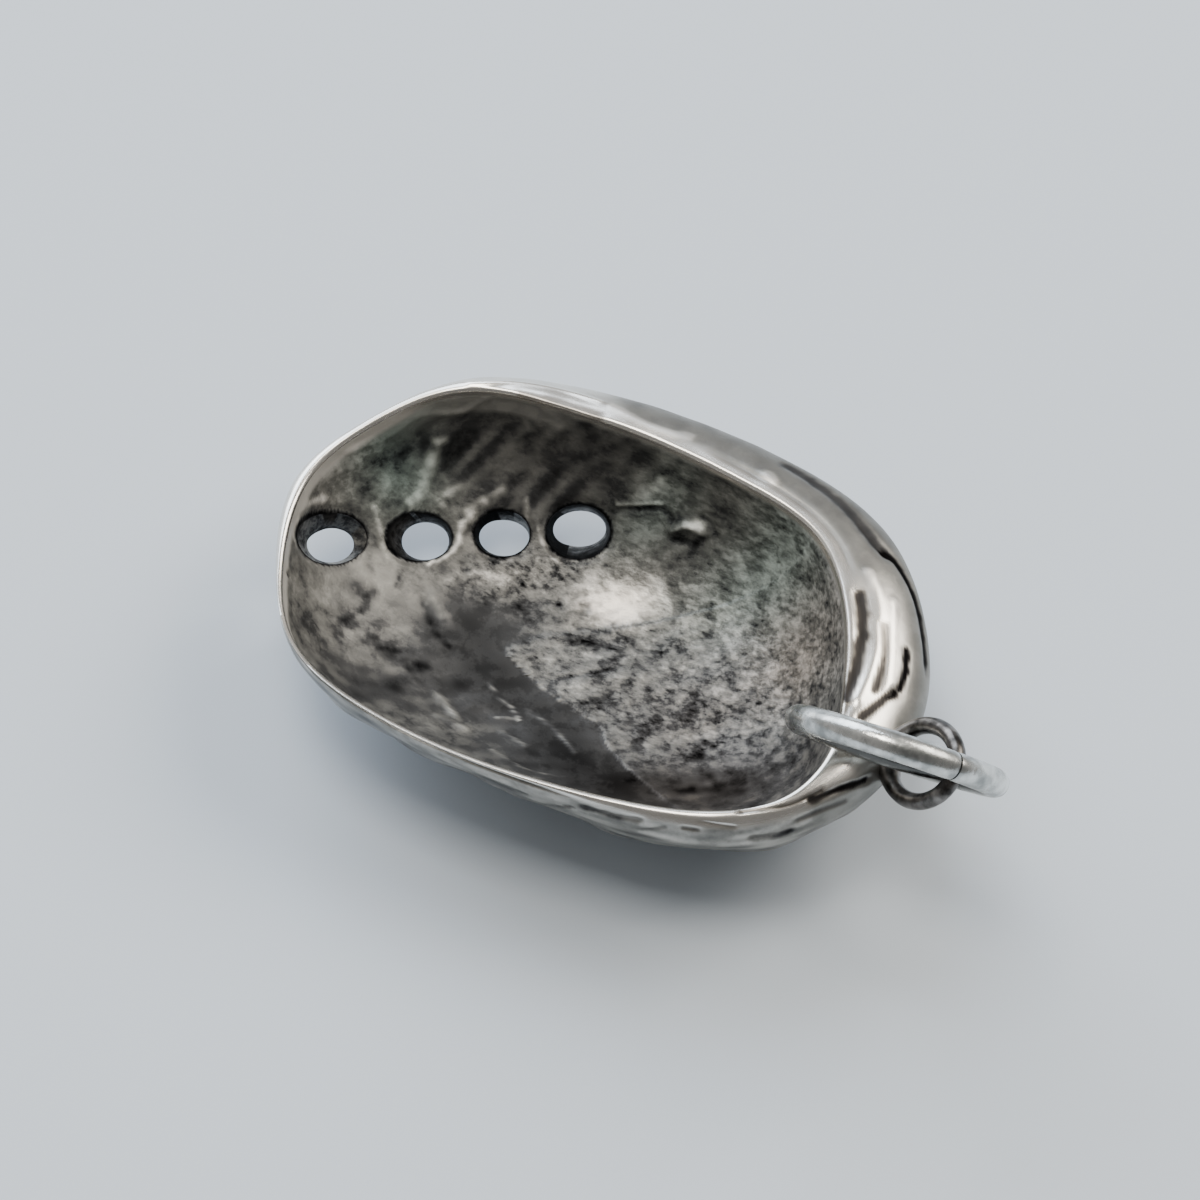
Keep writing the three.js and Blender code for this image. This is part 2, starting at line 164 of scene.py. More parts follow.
FLOOR_MARKS = [
    (0.36, 0.03, 0.22, [(-5.6, -0.4, 1.7), (-4.8, 0.1, 1.6), (-3.9, 0.2, 1.4)]),
    # The next mark has no height: its brighter tone is a painted highlight over the brightest
    # patch.
    (0.71, 0.0, 0.25, [(-1.0, 1.4, 1.3), (0.2, 1.1, 1.3), (1.0, 1.8, 1.5)]),
    (0.25, -0.03, -0.2, [(-7.8, -2.5, 2.4), (-7.8, -3.3, 2.5), (-8.0, -4.3, 2.9),
                         (-7.9, -5.1, 3.0)]),
    (0.14, -0.03, -0.18, [(-8.5, -1.5, 2.7), (-8.2, -1.8, 2.5)]),
    (0.14, -0.03, -0.18, [(-7.3, -1.4, 2.2), (-7.2, -1.8, 2.1)]),
    (0.5, 0.0, -0.14, [(-6.9, -4.3, 2.3), (-6.1, -4.2, 2.0), (-5.3, -4.5, 1.9)]),
    (0.1, -0.08, -0.4, [(-10.1, -4.6, 5.3), (-10.0, -4.6, 5.1)]),
    (0.15, -0.06, -0.3, [(-5.5, 0.1, 1.8), (-5.4, 0.0, 1.7)]),
    (0.18, -0.06, -0.35, [(-1.9, 0.5, 1.2), (-1.8, 0.4, 1.2)]),
    (0.16, -0.06, -0.35, [(-1.0, 0.7, 1.2), (-0.9, 0.7, 1.2)]),
    (0.18, -0.04, -0.14, [(-6.2, -1.8, 1.8), (-5.5, -2.5, 1.7), (-4.5, -3.1, 1.5)]),
    (0.25, 0.04, 0.18, [(-6.0, -1.6, 1.7), (-5.1, -2.1, 1.6)]),
    (0.36, 0.0, -0.15, [(-2.9, -0.5, 1.3), (-1.9, -0.4, 1.2), (-0.7, -0.1, 1.1)]),
    (0.57, 0.0, -0.1, [(3.9, -5.0, 1.7), (5.7, -4.7, 1.9), (7.4, -4.1, 2.3)]),
    (0.32, 0.0, -0.12, [(4.8, -2.2, 1.4), (5.5, -3.1, 1.5)]),
]
FLOW_LINES = [
    (0.06, 0.05, 0.45, [(-2.8, -3.5, 1.3), (-2.2, -4.0, 1.4), (-1.6, -4.2, 1.4),
                        (-1.0, -4.6, 1.5)]),
    (0.06, 0.04, 0.3, [(-1.0, -4.6, 1.5), (-1.4, -4.7, 1.5), (-1.8, -4.9, 1.6)]),
    (0.14, 0.05, 0.25, [(-4.1, -5.0, 1.8), (-3.6, -5.3, 1.8), (-2.9, -5.7, 1.9)]),
    (0.14, 0.05, 0.2, [(-3.6, -6.0, 2.1), (-3.0, -6.0, 2.0), (-2.5, -6.0, 2.0)]),
    (0.09, 0.04, 0.2, [(-1.3, -5.4, 1.7), (-0.3, -5.6, 1.8)]),
    (0.09, 0.04, 0.2, [(-1.0, -4.1, 1.3), (0.2, -4.4, 1.4), (1.4, -5.1, 1.6)]),
    (0.07, 0.03, 0.2, [(-1.2, -6.5, 2.2), (0.3, -6.8, 2.4), (1.6, -6.4, 2.2)]),
    (0.14, 0.03, 0.1, [(-5.6, -4.8, 2.0), (-4.6, -5.2, 1.9)]),
]
SCAR_STREAKS = [
    (0.25, 0.0, -0.2, [(-0.7, -0.7, 1.1), (0.2, -0.5, 1.1), (1.1, 0.1, 1.1)]),
    (0.11, -0.02, -0.18, [(-0.8, -2.5, 1.1), (0.2, -1.8, 1.1), (1.3, -0.9, 1.1)]),
    (0.11, -0.02, -0.14, [(0.7, -2.9, 1.1), (1.4, -2.2, 1.1)]),
    (0.11, 0.0, -0.1, [(-0.8, -1.7, 1.1), (0.5, -1.0, 1.1), (1.6, -0.1, 1.1)]),
]
INNER_MARKS = (FAR_WALL_MARKS + PORE_RIDGES + SHUT_PORE_MARKS + FLOOR_MARKS + FLOW_LINES
               + SCAR_STREAKS)
BAND_MARKS = [
    (0.12, 0.05, 0.25, [(-7.3, 4.6, 6.4), (-5.7, 5.4, 6.4), (-4.3, 5.8, 6.4), (-2.7, 5.9, 6.4)]),
    (0.2, -0.03, -0.3, [(-5.4, 4.9, 6.4), (-4.0, 5.2, 6.5), (-2.5, 5.3, 6.5)]),
    (0.2, 0.03, 0.2, [(-2.3, 5.9, 6.4), (-1.1, 5.7, 6.5), (-0.1, 5.7, 6.5), (0.8, 5.9, 6.4)]),
    (0.25, 0.06, 0.25, [(3.9, 5.6, 6.4), (4.2, 5.5, 6.5)]),
    (0.24, -0.09, -0.22, [(4.3, 6.5, 6.0), (5.7, 6.2, 6.1), (7.0, 5.7, 6.1), (8.3, 5.0, 6.1),
                          (8.9, 4.7, 6.0)]),
    (0.26, -0.06, -0.06, [(7.8, 5.2, 6.2), (8.3, 4.9, 6.1), (8.9, 4.6, 6.0)]),
    (0.16, -0.08, -0.5, [(8.9, 4.7, 6.0), (9.5, 4.5, 5.8), (10.3, 3.9, 5.6), (11.1, 3.0, 5.5),
                         (12.2, 1.2, 5.4)]),
    (0.26, -0.08, -0.78, [(8.9, 2.5, 6.5), (9.3, 1.8, 6.5), (9.7, 0.8, 6.4), (10.0, -0.4, 6.4),
                          (10.1, -1.4, 6.4)]),
    (0.22, 0.05, 0.3, [(8.8, 3.5, 6.4), (9.6, 2.7, 6.4), (10.3, 1.2, 6.4), (10.5, -0.1, 6.4),
                       (10.5, -1.3, 6.4)]),
    (0.17, -0.05, -0.72, [(10.1, 1.8, 6.3), (10.6, 0.7, 6.3), (10.9, -0.7, 6.3)]),
    (0.18, 0.04, 0.3, [(10.0, 2.9, 6.2), (10.6, 1.4, 6.2), (11.3, -0.4, 6.2)]),
    (0.14, -0.05, -0.75, [(11.2, 1.4, 6.0), (11.5, 0.7, 6.0), (11.6, -0.1, 6.0)]),
    (0.18, -0.06, -0.8, [(11.5, -0.4, 6.1), (11.3, -0.8, 6.2), (11.2, -1.1, 6.2),
                         (10.9, -1.9, 6.3)]),
    (0.24, -0.04, -0.1, [(11.5, -0.4, 6.1), (11.6, -0.4, 6.0)]),
    (0.14, -0.05, -0.3, [(10.3, -1.7, 6.4), (10.3, -2.1, 6.4)]),
    (0.08, -0.06, -0.5, [(8.6, -7.0, 6.2), (9.9, -6.1, 6.1), (10.8, -5.0, 6.1)]),
    (0.13, -0.08, -0.7, [(10.6, -5.5, 6.0), (11.3, -4.6, 5.9), (11.9, -3.7, 5.5)]),
    (0.2, -0.08, -0.1, [(11.9, -3.7, 5.5), (12.0, -3.6, 5.5)]),
]
BACK_MARKS = [
    (0.09, -0.05, -0.4, [(1.9, -9.0, 4.8), (3.1, -9.0, 5.5)]),
    (0.14, -0.06, -0.5, [(3.5, -8.9, 5.7), (4.5, -8.8, 5.7), (5.5, -8.6, 5.8)]),
    (0.09, -0.05, -0.4, [(7.0, -8.2, 5.8), (7.5, -8.1, 5.8)]),
    (0.18, -0.08, -0.5, [(9.2, -7.3, 5.3), (9.8, -6.9, 5.2), (10.3, -6.5, 5.2)]),
    (0.11, -0.06, -0.3, [(10.4, -6.2, 5.6), (11.0, -5.5, 5.6), (11.6, -4.7, 5.4)]),
    (0.09, -0.05, -0.3, [(5.6, -8.7, 5.3), (6.4, -8.4, 5.7)]),
    (0.09, -0.05, -0.3, [(0.4, -9.1, 5.3), (1.4, -9.1, 5.3)]),
    (0.07, -0.04, -0.3, [(7.5, -7.9, 6.1), (8.6, -7.5, 5.9)]),
]

# The muscle scar's edge on the floor, the step up to the scar and the fade of its tone, and the
# dark smooth band beside it, which calms the mottling.
SCAR_EDGE = [
    (-1.0, -0.5, 1.1), (-1.9, -1.1, 1.1), (-2.7, -2.1, 1.2), (-1.9, -2.6, 1.2), (-0.5, -3.1, 1.2),
    (0.9, -3.4, 1.2), (1.7, -3.6, 1.2), (2.2, -4.2, 1.4), (3.1, -4.8, 1.6), (4.5, -5.5, 2.1),
]
SCAR_HEIGHT = 0.06
SCAR_SLOPE = 0.15
SCAR_FADE = (-0.05, 0.1)
DARK_BAND = [
    (-5.6, -1.0, 1.7), (-4.0, -2.1, 1.4), (-1.7, -3.5, 1.3), (0.9, -4.9, 1.5), (3.2, -6.0, 2.1),
]
DARK_BAND_WIDTH = 1.9
DARK_BAND_CALM = 0.8

# The far wall under the wide band, from above: how its start slopes, where it starts, where it
# fades to the right and the way its streaks run.
FAR_WALL_SLOPE = 0.12
FAR_WALL_START = (2.2, 3.8)
FAR_WALL_END = (1.0, 6.0)
FAR_WALL_SWEEP = np.array((0.5, 0.61, 0.61))

# Changes of tone and of grain on the far wall, the dark band and the scar.
FAR_WALL_CHANGE = (-0.1, -0.35)
DARK_BAND_CHANGE = (-0.23, -0.6)
SCAR_CHANGE = (-0.01, 0.15)

# Soft patches of the inside, seen from above: place, half sizes along and across the row of pores,
# change of tone, grain, green stain and brown stain.
PATCHES = [
    ((-8.6, -2.6), (2.4, 2.0), 0.04, -0.4, 0.0, 0.0),
    ((-5.6, -5.8), (3.4, 1.7), -0.18, -0.6, 0.0, 0.0),
    ((-0.5, -7.0), (4.0, 1.6), -0.12, -0.5, 0.0, 0.0),
    ((-6.3, -1.0), (1.6, 1.0), 0.18, 0.2, 0.0, 0.0),
    ((-3.8, 0.6), (2.4, 0.8), 0.0, 0.8, 0.0, 0.1),
    # This patch lifts the tone as a painted highlight, standing in for the lamp's reflection on
    # rubbed silver; its brown is the highlight's warm tint.
    ((0.2, 1.3), (1.5, 0.9), 0.36, 0.9, 0.0, 0.4),
    ((5.0, 3.7), (3.2, 1.8), 0.31, 0.6, 0.7, 0.0),
    ((7.4, 0.8), (2.0, 2.0), 0.22, 0.6, 0.0, 0.6),
    ((4.2, -2.0), (2.6, 1.7), -0.08, 0.2, 0.0, 0.5),
    ((7.0, -4.8), (3.4, 1.8), -0.22, -0.6, 0.0, 0.9),
    ((4.0, -5.6), (2.6, 1.2), -0.03, -0.3, 0.0, 0.4),
    ((-8.8, 1.6), (1.8, 1.6), 0.06, 0.0, 0.9, 0.0),
    ((0.2, 4.2), (2.0, 1.0), 0.24, 0.5, 0.6, 0.0),
]
PLAIN_TONE = 0.4
PLAIN_GRAIN = 0.5

# The brightest patch, rubbed to a shine; its brightness is partly a painted highlight, set in
# PATCHES.
SHINE_PLACE = (0.2, 1.3)
SHINE_SIZE = (1.7, 1.0)
SHINE_POLISH = 0.45

# The inside near the rim, by span: where its relief ends, the smooth strip under the far rim, and
# the rubbed lip, which reaches further down and is duller at the left end.
RELIEF_END = 0.96
STRIP_START = (0.9, 0.93)
STRIP_END = (0.97, 0.99)
STRIP_RUN = (1.2, 3.2)
STRIP_TONE = 0.58
STRIP_CALM = 0.9
LIP_START = 0.97
LIP_TONE = 0.92
RIGHT_RUN = (1.5, 14.0)
LEFT_RIM = 0.03
LEFT_DULLNESS = 0.8

# The band, by station and span: the satin far shelf, the bright end by the ring, its dull outer
# face and the wrinkled near wall.
BAND_START = 1.12
BAND_END = 1.95
SHELF_RUN = (3.6, 6.6)
SHELF_FADE = (BAND_START, 1.3)
SHELF_TONE = 0.42
SHELF_DULLNESS = 0.7
END_RUN = (6.6, 9.6)
END_FADE = (BAND_START, 1.3)
END_TONE = 0.95
END_DULLNESS = 0.1
OUTER_RUN = (6.2, 10.0)
OUTER_FADE = (1.35, 1.65)
OUTER_TONE = 0.5
OUTER_DULLNESS = 0.5
WALL_RUN = (9.8, 15.5)
WALL_FADE = (1.4, 1.6)
WALL_TONE = 0.58
WALL_DULLNESS = 0.7
WALL_GRAIN = 0.2
WALL_WRINKLE_TONE = 0.1
GROOVE_DULLNESS = 0.5

# The back, by span: where its relief starts, and its satin stretch just behind the rim.
BACK_START = 2.15
RIM_FADE = (2.05, 2.25)
RIM_TONE = 0.12
RIM_POLISH = 0.4
BACK_TONE = 0.36
BACK_GRAIN = 0.25
BACK_POLISH = 0.3
BACK_WRINKLE_TONE = 0.16
FLAT_FADE = 0.8

# The bores are black, and so is the skin just round them.
BORE_FINISH = dict(tone=-0.12, grain=0.0, polish=0.0, green=0.0, brown=0.0)
PORE_EDGE = 1.08
PORE_EDGE_DEPTH = 2.0

# Where the tone of a mark starts to fade and where it ends, in shares of its width, the share of
# the back's marks that shows, and the level round which the inner marks are broken up.
INNER_MARK_FADE = (0.0, 1.6)
BAND_MARK_FADE = (0.4, 1.3)
BACK_MARK_FADE = (0.2, 1.5)
BACK_MARK_SHARE = 0.6
MARK_LEVEL = 0.85

# Unevenness: its strength, the size of its bumps and the seed that scatters it. Wrinkles are drawn
# out along the rim, and streaks along their own way.
CAST_SWELL = (0.03, 2.6, 3)
CAST_GRAIN = (0.012, 0.9, 4)
BAND_SWELL = (0.006, 1.6, 5)
WRINKLES = (1.0, 0.9, 6)
ROW_MOTTLE = (0.06, 0.8, 11)
FLOOR_MOTTLE = (0.05, 1.0, 12)
BAND_CLOUD = (0.03, 1.2, 13)
BACK_CLOUD = (0.06, 1.5, 14)
FAR_STREAKS = (0.12, 0.8, 15)
RAGGED_EDGE = (0.18, 0.6, 16)
MARK_BREAKS = (0.5, 0.5, 17)
WAVE_COUNT = 28
WAVE_SPREAD = (0.55, 1.5)
WAVE_LEVEL = 6
WRINKLE_STRETCH = (0.45, 0.45, 2.2)
WRINKLE_HEIGHT = 0.03
STREAK_SQUEEZE = 0.75

# Grooves along the rim: where, how wide, how deep and how dark.
NEAR_GROOVE_RUN = (12.2, 15.2)
NEAR_GROOVE_SPAN = 1.45
NEAR_GROOVE_WIDTH = 0.08
NEAR_GROOVE_DEPTH = 0.05
NEAR_GROOVE_TONE = 0.45
LIP_GROOVE_RUN = (4.6, 6.4)
LIP_GROOVE_OFF = 0.55
LIP_GROOVE_WIDTH = 0.12
LIP_GROOVE_DEPTH = 0.05
LIP_GROOVE_TONE = 0.12

# The ring stands in a plane of its own, and the eye's tip and foot are places in that plane. The
# ends of the ring's wire are given as shares of its whole turn.
RING_CENTRE = np.array((13.15, -4.27, 9.54))
RING_HEADING = 9
RING_DIP = 9
RING_ROLL = 116
RING_RADIUS = 3.5
RING_WIRE = 0.5
RING_SPLIT_ANGLE = 59
RING_SPLIT = 0.06
RING_ENDS = np.array((0.0, 0.002, 0.006))
RING_END_LENGTH = 0.012
RING_END_ROUNDING = 0.03
# How far round the wire the inner side's darker tone fades; that tone is partly tarnish and partly
# painted shade.
INNER_SIDE_FADE = 0.7
EYE_TIP = np.array((2.2, -1.45))
EYE_FOOT = np.array((0.1, -4.65))
EYE_HALF_WIDTH = 1.35
EYE_WIRE = 0.3
SOLDER_FLARE = 0.3
SOLDER_REACH = 0.7

# The photograph's view: bearing and height of the camera, its distance and its lens.
VIEW_AZIMUTH = 25
VIEW_ELEVATION = 60
VIEW_DISTANCE = 230
VIEW_TARGET = np.array((0.0, 0.0, 3.5))
SENSOR = 36
LENS = 193.8

# The room is dark on the near side: the way to its darkest place. The table is a wide square.
DARK_WAY = (0.62, -0.66, 0.42)
TABLE_HALF = 1500.0

# A stretch of the rim starts and ends softly, over half a station.
HALF_FADE = 0.25


def level(vectors):
    """The level part of vectors: their height is set to nothing."""
    return vectors * (1 - UP)


def smoothstep(value, low, high):
    """Rises from 0 at low to 1 at high on the cubic 3s^2 - 2s^3."""
    share = np.clip((value - low) / (high - low), 0, 1)
    return share * share * (3 - 2 * share)


def bell(value, width):
    """A bell curve: exp of minus the square of value over width."""
    return np.exp(-(value / width) ** 2)


def closed_spline(rows, count):
    """Smooth closed curve through every row: a uniform cubic B-spline whose control rows are
    solved so that the curve meets the rows, sampled evenly in row number."""
    number = len(rows)
    eye = np.eye(number)
    meets = (4 * eye + np.roll(eye, 1, 0) + np.roll(eye, -1, 0)) / 6
    controls = np.linalg.solve(meets, rows)
    place = np.arange(count) * number / count
    knot = np.floor(place).astype(int)
    s = (place - knot)[:, None]
    weights = (
        (1 - s) ** 3,
        3 * s ** 3 - 6 * s ** 2 + 4,
        -3 * s ** 3 + 3 * s ** 2 + 3 * s + 1,
        s ** 3,
    )
    return sum(w * controls[(knot - 1 + k) % number] for k, w in enumerate(weights)) / 6


def bezier(a, b, c, d, count):
    """Cubic curves from a to d pulled by b and c, one for each row of the ends: count points
    past the first, so the first point belongs to the stretch before."""
    t = np.linspace(0, 1, count + 1)[1:, None, None]
    return (1 - t) ** 3 * a + 3 * (1 - t) ** 2 * t * b + 3 * (1 - t) * t ** 2 * c + t ** 3 * d


def smooth_line(places):
    """A line through the places as Catmull-Rom pieces: each piece is the cubic whose slope at a
    place is half the step between the two places beside it."""
    places = np.array(places, float)
    padded = np.vstack((2 * places[0] - places[1], places, 2 * places[-1] - places[-2]))
    t = np.linspace(0, 1, LINE_STEPS + 1)[:-1, None, None]
    a, b, c, d = padded[:-3], padded[1:-2], padded[2:-1], padded[3:]
    pieces = 0.5 * (2 * b + (c - a) * t + (2 * a - 5 * b + 4 * c - d) * t ** 2
                    + (3 * b - a - 3 * c + d) * t ** 3)
    return np.vstack((pieces.transpose(1, 0, 2).reshape(-1, 3), places[-1]))


def off_line(points, places):
    """Distance of every point to the nearest stretch of the smooth line through the places."""
    line = smooth_line(places)
    nearest = np.full(points.shape[:-1], np.inf)
    for start, end in zip(line[:-1], line[1:]):
        along = end - start
        share = np.clip((points - start) @ along / (along @ along), 0, 1)
        off = points - start - share[..., None] * along
        nearest = np.minimum(nearest, np.linalg.norm(off, axis=-1))
    return nearest


def waves(points, strength, size, seed):
    """Smooth unevenness with bumps of about the given size: a sum of plane waves in fixed
    scattered directions, scaled to about minus to plus the strength."""
    scatter = np.random.default_rng(seed)
    ways = scatter.normal(size=(WAVE_COUNT, 3))
    ways /= np.linalg.norm(ways, axis=1)[:, None]
    ways *= 2 * math.pi / size * scatter.uniform(*WAVE_SPREAD, size=(WAVE_COUNT, 1))
    start = scatter.uniform(0, 2 * math.pi, size=WAVE_COUNT)
    return strength * (np.cos(points @ ways.T + start).sum(axis=-1) / WAVE_LEVEL)


def shell_section():
    """The plain shell as a grid of rows by columns. Each column is a section: a cubic from the
    floor up to the rim, a quarter round lip, a cubic over the band and a cubic round the back.
    Also gives each row's span: 0 to 1 inside, 1 to 2 on the lip and band, 2 to 3 on the back."""
    station = closed_spline(STATIONS, ROUND)
    edge, widest = station[:, :3], station[:, 3:]
    out = level(widest - edge)
    out /= np.linalg.norm(out, axis=1)[:, None]
    low = edge - LIP_RADIUS * UP
    top = edge + LIP_RADIUS * out
    floor = FLOOR + 0 * low
    base = BASE + 0 * low
    run = level(low - floor)
    rise = (low - floor) * UP
    wall = floor + WALL_REACH * run + WALL_RISE * rise
    inner = bezier(floor, floor + FLOOR_REACH * run, wall, low, INNER_ROWS)
    angle = np.linspace(0, math.pi / 2, LIP_ROWS + 1)[1:, None, None]
    lip = low + LIP_RADIUS * ((1 - np.cos(angle)) * out + np.sin(angle) * UP)
    over = level(widest - top)
    drop = (widest - top) * UP
    band = bezier(top, top + BAND_REACH * over, widest - BAND_FALL * drop, widest, BAND_ROWS)
    height = (widest - base) * UP
    under = base + BACK_REACH * level(widest - base)
    back = bezier(widest, widest - BACK_FALL * height, under, base, BACK_ROWS)
    grid = np.concatenate((floor[None], inner, lip, band, back))
    span = np.concatenate((
        np.linspace(0, 1, INNER_ROWS + 1),
        np.linspace(1, 2, LIP_ROWS + BAND_ROWS + 1)[1:],
        np.linspace(2, 3, BACK_ROWS + 1)[1:],
    ))
    return grid, span[:, None] + 0 * grid[..., 0]


def round_share(grid):
    """The station number of every point of the grid: how far round the rim its column lies."""
    return np.arange(ROUND) * len(STATIONS) / ROUND + 0 * grid[..., 0]


def between(station, start, end):
    """1 for station numbers from start to end, with soft ends of half a station."""
    begun = smoothstep(station, start - HALF_FADE, start + HALF_FADE)
    ended = smoothstep(station, end - HALF_FADE, end + HALF_FADE)
    return begun * (1 - ended)


def outward(grid):
    """Unit normals of a grid: the step round crossed with the step along the rows."""
    round_step = np.roll(grid, -1, 1) - np.roll(grid, 1, 1)
    normal = np.cross(round_step, np.gradient(grid, axis=0))
    normal[0] = UP
    normal[-1] = -UP
    return normal / np.linalg.norm(normal, axis=-1, keepdims=True)


def pore_place(points, pore):
    """Where points lie in a pore: in units of its oval, 1 being on the wall of the bore, and the
    depth along the bore, 0 at the inner oval and 1 at the outer one. The points are solved for
    shares of the oval's half axes and of the bore."""
    bore = np.array(pore["outside"]) - np.array(pore["inside"])
    ways = np.linalg.inv(np.stack((pore["along"], pore["across"], bore), 1))
    shares = (points - pore["inside"]) @ ways.T
    depth = shares[..., 2]
    narrow = 1 + np.clip(depth, 0, 1)[..., None] * (np.array(pore["throat"]) - 1)
    return np.hypot(shares[..., 0] / narrow[..., 0], shares[..., 1] / narrow[..., 1]), depth


def raised(points, marks):
    """Height of marks: the sum of each mark's height times a bell of the distance to its line."""
    total = 0 * points[..., 0]
    for width, height, _, places in marks:
        total += height * bell(off_line(points, places), width)
    return total


def toned(points, marks, start, end):
    """Change of tone by marks: the whole change out to a share of a mark's width, none past
    another share, with the edge made ragged by stretching the distance unevenly."""
    ragged = 1 + waves(points, *RAGGED_EDGE)
    total = 0 * points[..., 0]
    for width, _, tone, places in marks:
        off = off_line(points, places) * ragged
        total += tone * (1 - smoothstep(off, start * width, end * width))
    return total


def scar_side(points):
    """How far a point of the floor lies inside the muscle scar: the distance to its edge, taken
    as positive on the side of the ring."""
    edge = smooth_line(SCAR_EDGE)
    nearest = ((points[..., None, :2] - edge[:, :2]) ** 2).sum(-1).argmin(-1)
    ahead = np.gradient(edge, axis=0)[nearest]
    off = points - edge[nearest]
    cross = ahead[..., 0] * off[..., 1] - ahead[..., 1] * off[..., 0]
    return np.sign(cross) * np.hypot(off[..., 0], off[..., 1])


def inner_relief(points, span):
    """Height of the inside over the plain section: slow cast unevenness, the marks, the scar's
    raised edge, and a funnel sunk round each pore, fading out at the lip."""
    height = waves(points, *CAST_SWELL) + waves(points, *CAST_GRAIN) + raised(points, INNER_MARKS)
    height += SCAR_HEIGHT * smoothstep(scar_side(points), -SCAR_SLOPE, SCAR_SLOPE)
    for pore in PORES:
        oval, depth = pore_place(points, pore)
        height -= FUNNEL_DEPTH * bell(np.maximum(oval - 1, 0), FUNNEL_WIDTH) * bell(depth, 1.0)
    return height * (1 - smoothstep(span, RELIEF_END, 1.0))


def near_groove(span, station):
    """A fine groove along the middle of the near rim, which parts it into two bright lines."""
    off_middle = span - NEAR_GROOVE_SPAN
    return bell(off_middle, NEAR_GROOVE_WIDTH) * between(station, *NEAR_GROOVE_RUN)


def lip_groove(points, station):
    """A shallow groove just outside the lip of the wide band, at a set distance from the edge."""
    off_edge = np.linalg.norm(level(points - points[:1]), axis=-1)
    return bell(off_edge - LIP_GROOVE_OFF, LIP_GROOVE_WIDTH) * between(station, *LIP_GROOVE_RUN)


def band_relief(points, span, station):
    """Height of the band over the plain section: its marks, the grooves along it and a faint
    unevenness, fading out at the lip and at the widest line."""
    height = waves(points, *BAND_SWELL) + raised(points, BAND_MARKS + BACK_MARKS)
    height -= NEAR_GROOVE_DEPTH * near_groove(span, station)
    height -= LIP_GROOVE_DEPTH * lip_groove(points, station)
    return height * smoothstep(span, 1.0, BAND_START) * (1 - smoothstep(span, BAND_END, 2.0))


def wrinkles(points):
    """Unevenness drawn out along the rim, for the worn wall behind it."""
    return waves(points * WRINKLE_STRETCH, *WRINKLES)


def back_relief(points, span):
    """Height of the back over the plain section: the spire's swell, a groove that coils round it
    on a logarithmic spiral, growth ridges at steps of the distance from the spire, cords that
    fan from it, wrinkles and marks along the rim, and the collars of the pores."""
    off = points[..., :2] - SPIRE
    reach = np.hypot(off[..., 0], off[..., 1])
    bearing = np.arctan2(off[..., 1], off[..., 0])
    coil = bearing - np.log(reach + 1e-6) / COIL_RATE
    off_coil = np.abs((coil + math.pi) % (2 * math.pi) - math.pi)
    groove = bell(off_coil * COIL_RATE * reach, COIL_WIDTH)
    groove *= 1 - smoothstep(reach, COIL_END / 2, COIL_END)
    growth = np.cos(2 * math.pi * reach / GROWTH_STEP)
    cords = np.cos(CORD_COUNT * (bearing + CORD_CURL * np.log(reach + 1)))
    ribs = smoothstep(reach, SPIRE_RADIUS, 2 * SPIRE_RADIUS)
    height = SPIRE_HEIGHT * bell(reach, SPIRE_RADIUS) - COIL_DEPTH * groove
    height += ribs * (GROWTH_HEIGHT * growth + CORD_HEIGHT * cords)
    height += WRINKLE_HEIGHT * wrinkles(points)
    for pore in PORES:
        off_pore = np.linalg.norm(points - pore["outside"], axis=-1)
        height += COLLAR_HEIGHT * bell(off_pore, COLLAR_REACH)
    height *= smoothstep(span, 2.0, BACK_START)
    height += raised(points, BACK_MARKS)
    return height * smoothstep(points[..., 2], 0.0, FLAT_FADE)


def shell_skin(grid, span, station):
    """The shell's grid with its relief: every point of the plain section moves along its normal."""
    inside, on_band, behind = stretches(span)
    relief = np.zeros_like(span)
    relief[inside] = inner_relief(grid[inside], span[inside])
    relief[on_band] = band_relief(grid[on_band], span[on_band], station[on_band])
    relief[behind] = back_relief(grid[behind], span[behind])
    skin = grid + relief[..., None] * outward(grid)
    skin[..., 2] = np.maximum(skin[..., 2], 0)
    return skin


def stretches(span):
    """The grid's rows inside the hollow, on the lip and band, and on the back."""
    row = span[:, 0]
    return row <= 1, (row > 1) & (row <= 2), row > 2


def capped_faces(rows, columns):
    """Faces of a tube of rows by columns closed round, with a single point at each end: fans of
    triangles at the ends and quads between. Point 0 is the first end and the last point is the
    other."""
    ring = 1 + np.arange(rows * columns).reshape(rows, columns)
    beside = np.roll(ring, -1, 1)
    quads = np.stack((ring[:-1], beside[:-1], beside[1:], ring[1:]), -1).reshape(-1, 4)
    first = np.stack((0 * ring[0], beside[0], ring[0]), -1)
    last = np.stack((ring[-1], beside[-1], 0 * ring[-1] + rows * columns + 1), -1)
    return quads.tolist() + first.tolist() + last.tolist()


def closed_faces(rows, columns):
    """Faces of a loop of rows by columns that closes on itself both ways."""
    ring = np.arange(rows * columns).reshape(rows, columns)
    beside = np.roll(ring, -1, 1)
    after = np.roll(ring, -1, 0)
    return np.stack((ring, beside, np.roll(beside, -1, 0), after), -1).reshape(-1, 4).tolist()


def make_piece(name, points, faces):
    """A mesh object at the origin from points in millimetres, smooth shaded."""
    mesh = bpy.data.meshes.new(name)
    mesh.from_pydata((points * MM).tolist(), [], faces)
    mesh.polygons.foreach_set("use_smooth", np.ones(len(mesh.polygons), bool))
    piece = bpy.data.objects.new(name, mesh)
    bpy.context.scene.collection.objects.link(piece)
    return piece


def store(mesh, name, values):
    """Keeps one number for each point of a mesh, for its material to read."""
    kept = mesh.attributes.new(name, "FLOAT", "POINT")
    kept.data.foreach_set("value", np.ascontiguousarray(values, np.float32))


